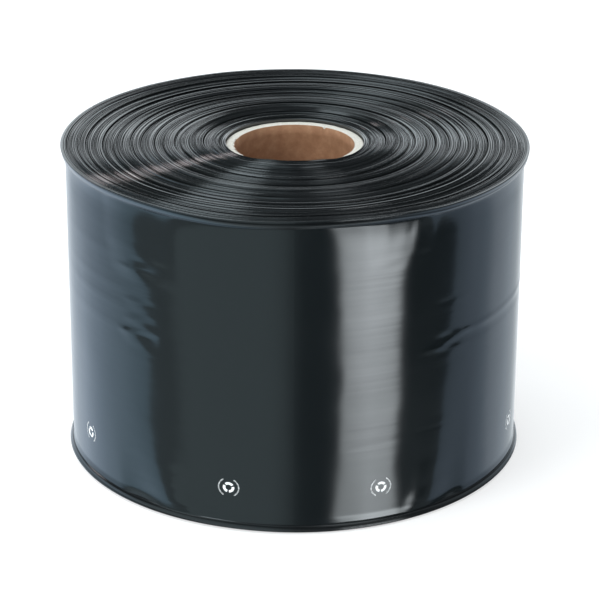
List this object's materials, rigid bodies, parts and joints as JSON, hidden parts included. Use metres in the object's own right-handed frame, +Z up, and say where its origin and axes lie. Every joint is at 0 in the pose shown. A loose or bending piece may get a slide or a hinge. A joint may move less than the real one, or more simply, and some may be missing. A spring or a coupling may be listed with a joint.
{
  "type": "roll of poly tubing",
  "caption": "Roll of flattened dark plastic tubing wound on a paperboard core, standing on its end, for cutting and sealing into bags.",
  "frame": {"origin": "centre of the lower end, on the surface that the roll stands on", "axes": "+Z up along the core's axis; the free end of the film is at the back, towards -X and +Y"},
  "size_m": [0.3007, 0.3005, 0.2065],
  "materials": {
    "paperboard": "bare spiral-wound paperboard with a brown paper lining",
    "film": "glossy dark blue-grey polyethylene film"
  },
  "bodies": {
    "root": {"core": "paperboard", "film_roll": "film"}
  },
  "joints": []
}
